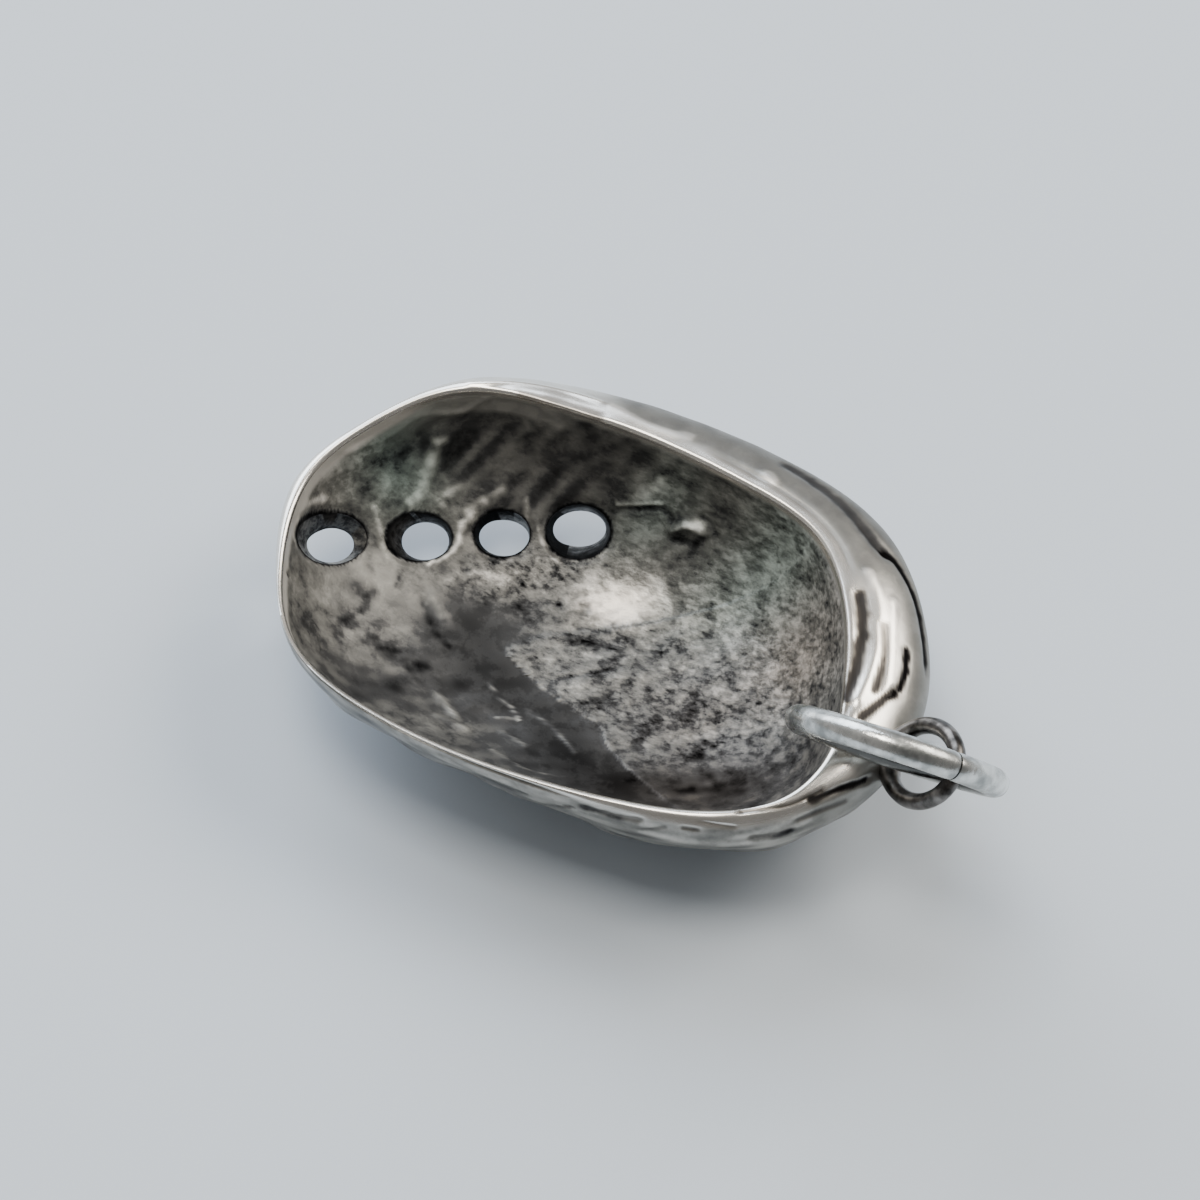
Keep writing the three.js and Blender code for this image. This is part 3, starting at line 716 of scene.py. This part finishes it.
def pore_cutters():
    """The bores of all pores as one mesh: each is an oval tube from below the shell up into the
    hollow, which narrows from the inner oval to the outer one."""
    depths = np.array((BORE_BELOW, BORE_BELOW, 1.0, 0.0, -BORE_ABOVE, -BORE_ABOVE))
    turn = np.linspace(0, 2 * math.pi, BORE_SIDES, endpoint=False)
    points = []
    faces = []
    for pore in PORES:
        throat = np.array(pore["throat"])
        sizes = np.array((0 * throat, throat, throat, 1 + 0 * throat, 1 + 0 * throat, 0 * throat))
        bore = np.array(pore["outside"]) - np.array(pore["inside"])
        oval = (sizes[:, None, :1] * np.cos(turn)[:, None] * pore["along"]
                + sizes[:, None, 1:] * np.sin(turn)[:, None] * pore["across"])
        rows = np.array(pore["inside"]) + oval + depths[:, None, None] * bore
        start = sum(len(p) for p in points)
        points.append(np.vstack((rows[0, :1], rows[1:-1].reshape(-1, 3), rows[-1, :1])))
        faces += [[start + i for i in face] for face in capped_faces(len(depths) - 2, len(turn))]
    return make_piece("pore_cutters", np.vstack(points), faces)


def one_pole(values):
    """A grid's values with a single one for each of the two rows that meet in a point."""
    flat = values[1:-1].reshape(-1, *values.shape[2:])
    return np.concatenate((values[:1, 0], flat, values[-1:, 0]))


def make_shell():
    """The casting: its skin with what its metal looks like at every point, cut by the pores."""
    grid, span = shell_section()
    station = round_share(grid)
    skin = shell_skin(grid, span, station)
    shell = make_piece("cast_shell", one_pole(skin), capped_faces(len(skin) - 2, ROUND))
    cutters = pore_cutters()
    for name, values in shell_finish(grid, span, station).items():
        store(shell.data, name, one_pole(np.clip(values, 0, 1)))
        store(cutters.data, name, np.full(len(cutters.data.vertices), BORE_FINISH[name]))
    cut = shell.modifiers.new("pores", "BOOLEAN")
    cut.operation = "DIFFERENCE"
    cut.solver = "EXACT"
    cut.object = cutters
    graph = bpy.context.evaluated_depsgraph_get()
    shell_mesh = bpy.data.meshes.new_from_object(shell.evaluated_get(graph))
    shell.modifiers.clear()
    shell.data = shell_mesh
    bpy.data.objects.remove(cutters)
    shell_mesh.set_sharp_from_angle(angle=SHARP_ANGLE)
    return shell


def patch(points, place, size):
    """A bell-shaped patch seen from above, with half sizes along and across the row of pores."""
    off = points[..., :2] - place
    along = off @ PORE_ROW[:2]
    across = off @ np.array((-PORE_ROW[1], PORE_ROW[0]))
    return bell(np.hypot(along / size[0], across / size[1]), 1.0)


def drawn_out(points, way, share):
    """Points squeezed along a way by a share, so that unevenness made from them is drawn out."""
    return points - share * (points @ way)[..., None] * way


def inner_finish(points, span, station):
    """Tone, grain and stains of the oxidised inside: soft patches, one of them a painted highlight,
    the dark far wall, the dark smooth band, the scar, the marks, mottling, the smooth strip under
    the far rim, the black edges of the pores, the rubbed lip and the shine on the brightest patch."""
    tone = PLAIN_TONE + 0 * span
    grain = PLAIN_GRAIN + 0 * span
    green = 0 * span
    brown = 0 * span
    for place, size, tone_change, grain_change, green_change, brown_change in PATCHES:
        here = patch(points, place, size)
        tone += tone_change * here
        grain += grain_change * here
        green += green_change * here
        brown += brown_change * here
    far = smoothstep(points[..., 1] - FAR_WALL_SLOPE * points[..., 0], *FAR_WALL_START)
    far *= 1 - smoothstep(points[..., 0], *FAR_WALL_END)
    scar = smoothstep(scar_side(points), *SCAR_FADE)
    dark = bell(off_line(points, DARK_BAND), DARK_BAND_WIDTH) * (1 - scar)
    changes = ((far, FAR_WALL_CHANGE), (dark, DARK_BAND_CHANGE), (scar, SCAR_CHANGE))
    for here, (tone_change, grain_change) in changes:
        tone += tone_change * here
        grain += grain_change * here
    mottle = waves(drawn_out(points, PORE_ROW, STREAK_SQUEEZE), *ROW_MOTTLE)
    mottle += waves(points, *FLOOR_MOTTLE)
    sweep = waves(drawn_out(points, FAR_WALL_SWEEP, STREAK_SQUEEZE), *FAR_STREAKS)
    broken = MARK_LEVEL + waves(points, *MARK_BREAKS)
    tone += (1 - far) * (1 - DARK_BAND_CALM * dark) * mottle + far * sweep
    tone += broken * toned(points, INNER_MARKS, *INNER_MARK_FADE)
    strip = smoothstep(span, *STRIP_START) * (1 - smoothstep(span, *STRIP_END))
    strip *= between(station, *STRIP_RUN)
    tone += strip * (STRIP_TONE - tone)
    grain *= 1 - STRIP_CALM * strip
    for pore in PORES:
        oval, depth = pore_place(points, pore)
        edge = (1 - smoothstep(oval, 1.0, PORE_EDGE)) * bell(depth, PORE_EDGE_DEPTH)
        tone += edge * (BORE_FINISH["tone"] - tone)
    left_end = 1 - between(station, *RIGHT_RUN)
    lip = smoothstep(span + LEFT_RIM * left_end, LIP_START, 1.0)
    tone += lip * (LIP_TONE - tone)
    shine = SHINE_POLISH * patch(points, SHINE_PLACE, SHINE_SIZE)
    return dict(
        tone=tone,
        grain=grain * (1 - lip),
        polish=lip * (1 - LEFT_DULLNESS * left_end) + shine * (1 - lip),
        green=green * (1 - lip),
        brown=brown * (1 - lip),
    )


def band_finish(points, span, station):
    """Tone and stains of the rubbed band: bright on the lip and the narrow rim, satin on the far
    shelf, brighter at the ring's end but dull on its outer face, dull and wrinkled on the near
    wall, dark in the grooves."""
    shelf = between(station, *SHELF_RUN) * smoothstep(span, *SHELF_FADE)
    end = between(station, *END_RUN) * smoothstep(span, *END_FADE)
    outer = between(station, *OUTER_RUN) * smoothstep(span, *OUTER_FADE)
    wall = between(station, *WALL_RUN) * smoothstep(span, *WALL_FADE)
    marks = toned(points, BAND_MARKS, *BAND_MARK_FADE)
    marks += BACK_MARK_SHARE * toned(points, BACK_MARKS, *BACK_MARK_FADE)
    grooves = np.clip(-marks, 0, 1)
    tone = LIP_TONE + shelf * (SHELF_TONE - LIP_TONE)
    tone += end * (END_TONE - LIP_TONE) + wall * (WALL_TONE - LIP_TONE)
    tone += outer * (OUTER_TONE - tone)
    tone += waves(points, *BAND_CLOUD) + WALL_WRINKLE_TONE * wall * wrinkles(points) + marks
    tone -= NEAR_GROOVE_TONE * near_groove(span, station)
    tone -= LIP_GROOVE_TONE * lip_groove(points, station)
    polish = 1 - SHELF_DULLNESS * shelf - END_DULLNESS * end - WALL_DULLNESS * wall
    polish *= (1 - GROOVE_DULLNESS * grooves) * (1 - OUTER_DULLNESS * outer)
    return dict(tone=tone, grain=WALL_GRAIN * wall, polish=polish, green=0 * span, brown=grooves)


def back_finish(points, span):
    """Tone of the worn back: satin just behind the rim, rubbed on the high places and dark in the
    wrinkles and the marks."""
    rim = 1 - smoothstep(span, *RIM_FADE)
    tone = BACK_TONE + BACK_WRINKLE_TONE * wrinkles(points) + waves(points, *BACK_CLOUD)
    tone += RIM_TONE * rim + BACK_MARK_SHARE * toned(points, BACK_MARKS, *BACK_MARK_FADE)
    return dict(
        tone=tone,
        grain=BACK_GRAIN * (1 - rim),
        polish=BACK_POLISH + RIM_POLISH * rim,
        green=0 * span,
        brown=0 * span,
    )


def shell_finish(grid, span, station):
    """What the shell's metal looks like at every point of its grid, by the name of each value:
    tone from black oxide to bare silver, grain, polish, and green and brown stain."""
    inside, on_band, behind = stretches(span)
    parts = (
        inner_finish(grid[inside], span[inside], station[inside]),
        band_finish(grid[on_band], span[on_band], station[on_band]),
        back_finish(grid[behind], span[behind]),
    )
    return {name: np.concatenate([part[name] for part in parts]) for name in BORE_FINISH}


def rotation(axis, degrees):
    """Turning matrix about one axis, 0 for X, 1 for Y or 2 for Z, by the right-hand rule."""
    turn = math.radians(degrees)
    matrix = np.eye(3)
    b, c = (axis + 1) % 3, (axis + 2) % 3
    matrix[b, b] = matrix[c, c] = math.cos(turn)
    matrix[c, b] = math.sin(turn)
    matrix[b, c] = -math.sin(turn)
    return matrix


def ring_ways():
    """The ring's own ways as columns: its long way in the picture, up through its near arc, and
    square to its plane."""
    return rotation(2, RING_HEADING) @ rotation(1, RING_DIP) @ rotation(0, RING_ROLL)


def in_ring_plane(places):
    """Places given along the ring's own ways from its centre, carried to the part's frame."""
    return RING_CENTRE + places @ ring_ways().T


def make_ring():
    """The jump ring: a circle of wire carried round from one side of its split to the other, with
    the last bit of the wire rounded off at both ends."""
    gap = RING_SPLIT / RING_RADIUS
    middle = np.linspace(RING_END_LENGTH, 1 - RING_END_LENGTH, RING_STEPS)
    steps = np.concatenate((RING_ENDS, middle, 1 - RING_ENDS[::-1]))
    rounded = 1 - smoothstep(np.minimum(steps, 1 - steps), 0.0, RING_ENDS[-1])
    wire = RING_WIRE * (1 - RING_END_ROUNDING * rounded)
    turn = math.radians(RING_SPLIT_ANGLE) + gap / 2 + steps * (2 * math.pi - gap)
    round_wire = np.linspace(0, 2 * math.pi, RING_SIDES, endpoint=False)
    reach = RING_RADIUS + wire[:, None] * np.cos(round_wire)
    side = wire[:, None] * np.sin(round_wire)
    rows = np.stack((np.cos(turn)[:, None] * reach, np.sin(turn)[:, None] * reach, side), -1)
    first = RING_RADIUS * np.array((math.cos(turn[0]), math.sin(turn[0]), 0))
    last = RING_RADIUS * np.array((math.cos(turn[-1]), math.sin(turn[-1]), 0))
    points = np.vstack((first, rows.reshape(-1, 3), last))
    ring = make_piece("split_ring", in_ring_plane(points), capped_faces(len(rows), len(round_wire)))
    # The inner side of the wire is darkened: partly tarnish where no cloth reaches, partly painted
    # shade standing in for the dark shell it reflects.
    inner_side = smoothstep(-np.cos(round_wire), 0.0, INNER_SIDE_FADE) + 0 * rows[..., 0]
    ring.data.set_sharp_from_angle(angle=SHARP_ANGLE)
    store(ring.data, "inner_side", np.concatenate(([0.0], inner_side.ravel(), [0.0])))
    return ring


def make_eye():
    """The soldered eye: a wire carried round an oval, thicker near its foot where solder has run
    up it, with its foot sunk in the wall."""
    long_way = EYE_TIP - EYE_FOOT
    length = np.linalg.norm(long_way)
    turn = np.linspace(0, 2 * math.pi, EYE_STEPS, endpoint=False)
    round_wire = np.linspace(0, 2 * math.pi, EYE_SIDES, endpoint=False)
    path = np.stack((np.cos(turn) * length / 2, 0 * turn, np.sin(turn) * EYE_HALF_WIDTH), -1)
    out = np.stack((np.cos(turn) * EYE_HALF_WIDTH, 0 * turn, np.sin(turn) * length / 2), -1)
    out /= np.linalg.norm(out, axis=1)[:, None]
    from_foot = np.linalg.norm(path - (-length / 2, 0, 0), axis=1)
    wire = EYE_WIRE + SOLDER_FLARE * bell(from_foot, SOLDER_REACH)
    across = np.array((0.0, 1.0, 0.0))
    round_wire = round_wire[:, None, None]
    section = np.cos(round_wire) * out + np.sin(round_wire) * across
    rows = (path + wire[:, None] * section).transpose(1, 0, 2)
    heading = math.degrees(math.atan2(long_way[1], long_way[0]))
    middle = np.array((*(EYE_TIP + EYE_FOOT) / 2, 0.0))
    points = middle + rows.reshape(-1, 3) @ rotation(2, heading).T
    faces = closed_faces(EYE_STEPS, EYE_SIDES)
    eye = make_piece("soldered_eye", in_ring_plane(points), faces)
    store(eye.data, "solder", np.repeat(bell(from_foot, SOLDER_REACH), EYE_SIDES))
    return eye


def linear(hex_colour):
    """A colour given as sRGB hex digits, turned to linear light with full cover."""
    parts = [int(hex_colour[i:i + 2], 16) / 255 for i in (0, 2, 4)]
    return [p / 12.92 if p <= 0.04045 else ((p + 0.055) / 1.055) ** 2.4 for p in parts] + [1.0]


def add(tree, kind, inputs=None, **settings):
    """Adds a node, sets its properties, and sets or links its inputs by name or number."""
    node = tree.nodes.new(kind)
    for name, value in settings.items():
        setattr(node, name, value)
    for name, value in (inputs or {}).items():
        if isinstance(value, bpy.types.NodeSocket):
            tree.links.new(value, node.inputs[name])
        else:
            node.inputs[name].default_value = value
    return node


def new_material(name):
    """An empty material with its output node and a node that gives Object coordinates."""
    material = bpy.data.materials.new(name)
    material.use_nodes = True
    tree = material.node_tree
    tree.nodes.clear()
    output = add(tree, "ShaderNodeOutputMaterial")
    place = add(tree, "ShaderNodeTexCoord").outputs["Object"]
    return material, tree, output, place


def per_mm(size):
    """A texture's scale, in repeats per metre, for features of a size in millimetres."""
    return 1 / (size * MM)


def oxidised_cast_silver():
    """Cast silver, dipped to a black sulphide and rubbed back: dark grainy skin in the hollow
    with bare flecks and small black pits, bright satin silver where fingers and a cloth reach."""
    material, tree, output, place = new_material("oxidised_cast_silver")
    kept = {}
    for name in BORE_FINISH:
        kept[name] = add(tree, "ShaderNodeAttribute", attribute_name=name).outputs["Fac"]
    mottle = add(tree, "ShaderNodeTexNoise", {
        "Vector": place, "Scale": per_mm(0.8), "Detail": 6.0, "Roughness": 0.65}).outputs["Fac"]
    row_turn = -math.atan2(PORE_ROW[1], PORE_ROW[0])
    row = add(tree, "ShaderNodeMapping", {
        "Vector": place, "Rotation": (0, 0, row_turn), "Scale": (0.55, 1, 1)}).outputs[0]
    flecks = add(tree, "ShaderNodeTexNoise", {
        "Vector": row, "Scale": per_mm(0.24), "Detail": 4.0, "Roughness": 0.6}).outputs["Fac"]
    hollows = add(tree, "ShaderNodeTexNoise", {
        "Vector": row, "Scale": per_mm(0.22), "Detail": 2.0, "Roughness": 0.5}).outputs["Fac"]
    cloud = add(tree, "ShaderNodeMapRange", {
        "Value": mottle, "From Min": 0.45, "From Max": 0.55,
        "To Min": -0.08, "To Max": 0.08}).outputs["Result"]
    fleck = add(tree, "ShaderNodeMapRange", {
        "Value": flecks, "From Min": 0.35, "From Max": 0.65,
        "To Min": -0.19, "To Max": 0.19}).outputs["Result"]
    pit = add(tree, "ShaderNodeMapRange", {
        "Value": hollows, "From Min": 0.3, "From Max": 0.4,
        "To Min": 1.0, "To Max": 0.0}).outputs["Result"]
    grainy = add(tree, "ShaderNodeMath", {
        0: pit, 1: -0.16, 2: fleck}, operation="MULTIPLY_ADD").outputs[0]
    cloudy = add(tree, "ShaderNodeMath", {0: grainy, 1: cloud}, operation="ADD").outputs[0]
    calm = add(tree, "ShaderNodeMath", {0: cloud, 1: 0.3}, operation="MULTIPLY").outputs[0]
    uneven = add(tree, "ShaderNodeMath", {
        0: cloudy, 1: kept["grain"], 2: calm}, operation="MULTIPLY_ADD").outputs[0]
    raw = add(tree, "ShaderNodeMath", {0: 1.0, 1: kept["polish"]}, operation="SUBTRACT").outputs[0]
    tone = add(tree, "ShaderNodeMath", {0: uneven, 1: raw, 2: kept["tone"]},
               operation="MULTIPLY_ADD", use_clamp=True).outputs[0]
    ramp = add(tree, "ShaderNodeValToRGB", {"Fac": tone})
    stops = ((0.0, "161617"), (0.25, "444444"), (0.5, "85847f"), (0.75, "c3c0ba"), (1.0, "f5f1e9"))
    while len(ramp.color_ramp.elements) < len(stops):
        ramp.color_ramp.elements.new(0.5)
    for element, (position, colour) in zip(ramp.color_ramp.elements, stops):
        element.position = position
        element.color = linear(colour)
    greened = add(tree, "ShaderNodeMix", {
        "Factor": kept["green"], 6: ramp.outputs["Color"], 7: linear("c8e3e1")},
        data_type="RGBA", blend_type="MULTIPLY").outputs[2]
    browned = add(tree, "ShaderNodeMix", {
        "Factor": kept["brown"], 6: greened, 7: linear("e3d2c4")},
        data_type="RGBA", blend_type="MULTIPLY").outputs[2]
    black = add(tree, "ShaderNodeMapRange", {
        "Value": tone, "From Min": 0.0, "From Max": 0.3,
        "To Min": 1.0, "To Max": 0.0}).outputs["Result"]
    bare = add(tree, "ShaderNodeMath", {
        0: black, 1: kept["polish"]}, operation="MAXIMUM").outputs[0]
    metallic = add(tree, "ShaderNodeMapRange", {
        "Value": bare, "To Min": 0.55, "To Max": 1.0}).outputs["Result"]
    dull = add(tree, "ShaderNodeMapRange", {
        "Value": black, "To Min": 0.5, "To Max": 0.95}).outputs["Result"]
    rough = add(tree, "ShaderNodeMix", {
        "Factor": kept["polish"], 2: dull, 3: 0.24}, data_type="FLOAT").outputs[0]
    relief = add(tree, "ShaderNodeMath", {
        0: flecks, 1: kept["grain"], 2: mottle}, operation="MULTIPLY_ADD").outputs[0]
    height = add(tree, "ShaderNodeMath", {0: relief, 1: raw}, operation="MULTIPLY").outputs[0]
    bump = add(tree, "ShaderNodeBump", {
        "Strength": 0.7, "Distance": 0.06 * MM, "Height": height}).outputs["Normal"]
    shader = add(tree, "ShaderNodeBsdfPrincipled", {
        "Base Color": browned, "Metallic": metallic, "Roughness": rough, "Normal": bump})
    tree.links.new(shader.outputs["BSDF"], output.inputs["Surface"])
    return material


def polished_silver_wire():
    """Drawn silver wire, polished and then worn: bright, with a faint cloudy tarnish, and darker on
    the inner side of the ring, partly tarnish where no cloth reaches and partly painted shade
    standing in for the dark shell that it reflects."""
    material, tree, output, place = new_material("polished_silver_wire")
    inner_side = add(tree, "ShaderNodeAttribute", attribute_name="inner_side").outputs["Fac"]
    cloud = add(tree, "ShaderNodeTexNoise", {
        "Vector": place, "Scale": per_mm(0.7), "Detail": 5.0}).outputs["Fac"]
    ramp = add(tree, "ShaderNodeValToRGB", {"Fac": cloud})
    ramp.color_ramp.elements[0].position = 0.35
    ramp.color_ramp.elements[0].color = linear("969896")
    ramp.color_ramp.elements[1].position = 0.65
    ramp.color_ramp.elements[1].color = linear("e6e7e3")
    # Darker on the inner side of the ring: tarnish and painted shade.
    tarnish_and_shade = add(tree, "ShaderNodeMix", {
        "Factor": inner_side, 6: ramp.outputs["Color"], 7: linear("5a5a58")},
        data_type="RGBA").outputs[2]
    rough = add(tree, "ShaderNodeMapRange", {
        "Value": cloud, "From Min": 0.3, "From Max": 0.7,
        "To Min": 0.36, "To Max": 0.18}).outputs["Result"]
    scratch = add(tree, "ShaderNodeTexNoise", {
        "Vector": place, "Scale": per_mm(0.2), "Detail": 3.0}).outputs["Fac"]
    bump = add(tree, "ShaderNodeBump", {
        "Strength": 0.4, "Distance": 0.03 * MM, "Height": scratch}).outputs["Normal"]
    shader = add(tree, "ShaderNodeBsdfPrincipled", {
        "Base Color": tarnish_and_shade, "Metallic": 1.0, "Roughness": rough, "Normal": bump})
    tree.links.new(shader.outputs["BSDF"], output.inputs["Surface"])
    return material


def tarnished_silver_wire():
    """Silver wire black with tarnish where no cloth reaches, with grey solder run up its foot."""
    material, tree, output, place = new_material("tarnished_silver_wire")
    solder = add(tree, "ShaderNodeAttribute", attribute_name="solder").outputs["Fac"]
    cloud = add(tree, "ShaderNodeTexNoise", {
        "Vector": place, "Scale": per_mm(0.6), "Detail": 4.0}).outputs["Fac"]
    tone = add(tree, "ShaderNodeMath", {
        0: solder, 1: 0.25, 2: cloud}, operation="MULTIPLY_ADD").outputs[0]
    ramp = add(tree, "ShaderNodeValToRGB", {"Fac": tone})
    ramp.color_ramp.elements[0].position = 0.4
    ramp.color_ramp.elements[0].color = linear("3a3836")
    ramp.color_ramp.elements[1].position = 0.75
    ramp.color_ramp.elements[1].color = linear("928e8a")
    bump = add(tree, "ShaderNodeBump", {
        "Strength": 0.3, "Distance": 0.04 * MM, "Height": cloud}).outputs["Normal"]
    shader = add(tree, "ShaderNodeBsdfPrincipled", {
        "Base Color": ramp.outputs["Color"], "Metallic": 1.0, "Roughness": 0.32, "Normal": bump})
    tree.links.new(shader.outputs["BSDF"], output.inputs["Surface"])
    return material


def painted_table():
    """The pale matt table top."""
    material, tree, output, _ = new_material("painted_table")
    shader = add(tree, "ShaderNodeBsdfPrincipled", {
        "Base Color": linear("d0dae4"), "Roughness": 0.6})
    tree.links.new(shader.outputs["BSDF"], output.inputs["Surface"])
    return material


def make_table():
    """A wide flat square at the height that the shell lies on."""
    corners = TABLE_HALF * np.array(((-1, -1, 0), (1, -1, 0), (1, 1, 0), (-1, 1, 0)))
    table = make_piece("table", corners, [[0, 1, 2, 3]])
    table.data.materials.append(painted_table())


def aim(thing, place, target):
    """Puts a light or camera at a place in millimetres and points it at a target."""
    thing.location = place * MM
    away = place - target
    heading = math.atan2(away[0], -away[1])
    tilt = math.atan2(math.hypot(away[0], away[1]), away[2])
    thing.rotation_euler = (tilt, 0, heading)


def make_light(name, place, size, power, colour):
    """A square soft light of a colour that points at the shell."""
    lamp = bpy.data.lights.new(name, "AREA")
    lamp.size = size * MM
    lamp.energy = power
    lamp.color = linear(colour)[:3]
    light = bpy.data.objects.new(name, lamp)
    bpy.context.scene.collection.objects.link(light)
    aim(light, np.array(place, float), VIEW_TARGET)


def view_way():
    """The unit way from the shell to the photograph's camera."""
    azimuth = math.radians(VIEW_AZIMUTH)
    elevation = math.radians(VIEW_ELEVATION)
    reach = math.cos(elevation)
    return np.array((math.sin(azimuth) * reach, -math.cos(azimuth) * reach, math.sin(elevation)))


def make_studio():
    """Soft light from above, from the far side and from both ends, with a pale surround that
    falls off to the dark side of the room."""
    world = bpy.data.worlds.new("studio")
    world.use_nodes = True
    tree = world.node_tree
    way = add(tree, "ShaderNodeTexCoord").outputs["Generated"]
    facing = add(tree, "ShaderNodeVectorMath", {
        0: way, 1: DARK_WAY}, operation="DOT_PRODUCT").outputs["Value"]
    strength = add(tree, "ShaderNodeMapRange", {
        "Value": facing, "From Min": -0.1, "From Max": 0.85,
        "To Min": 0.76, "To Max": 0.34}).outputs["Result"]
    background = tree.nodes["Background"]
    background.inputs["Color"].default_value = linear("cccac8")
    tree.links.new(strength, background.inputs["Strength"])
    bpy.context.scene.world = world
    make_light("overhead", (-60, 0, 420), 160, 0.8, "fffaf2")
    make_light("far_window", (-330, 260, 290), 380, 2.5, "e6f1ff")
    make_light("left_window", (-400, 190, 90), 220, 0.5, "f6faff")
    make_light("right_window", (220, 260, 330), 260, 1.7, "fff8ee")


def make_camera():
    """The photograph's camera, by its bearing, height and distance."""
    lens = bpy.data.cameras.new("photo_view")
    lens.sensor_width = SENSOR
    lens.lens = LENS
    lens.clip_start = 0.01
    camera = bpy.data.objects.new("photo_view", lens)
    bpy.context.scene.collection.objects.link(camera)
    aim(camera, VIEW_TARGET + VIEW_DISTANCE * view_way(), VIEW_TARGET)
    bpy.context.scene.camera = camera


shell = make_shell()
shell.data.materials.clear()
shell.data.materials.append(oxidised_cast_silver())
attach(shell, "body")
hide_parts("shell")

eye = make_eye()
eye.data.materials.append(tarnished_silver_wire())
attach(eye, "body")
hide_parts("eye")

ring = make_ring()
ring.data.materials.append(polished_silver_wire())
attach(ring, "ring")
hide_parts("jump_ring")

make_table()
make_studio()
make_camera()
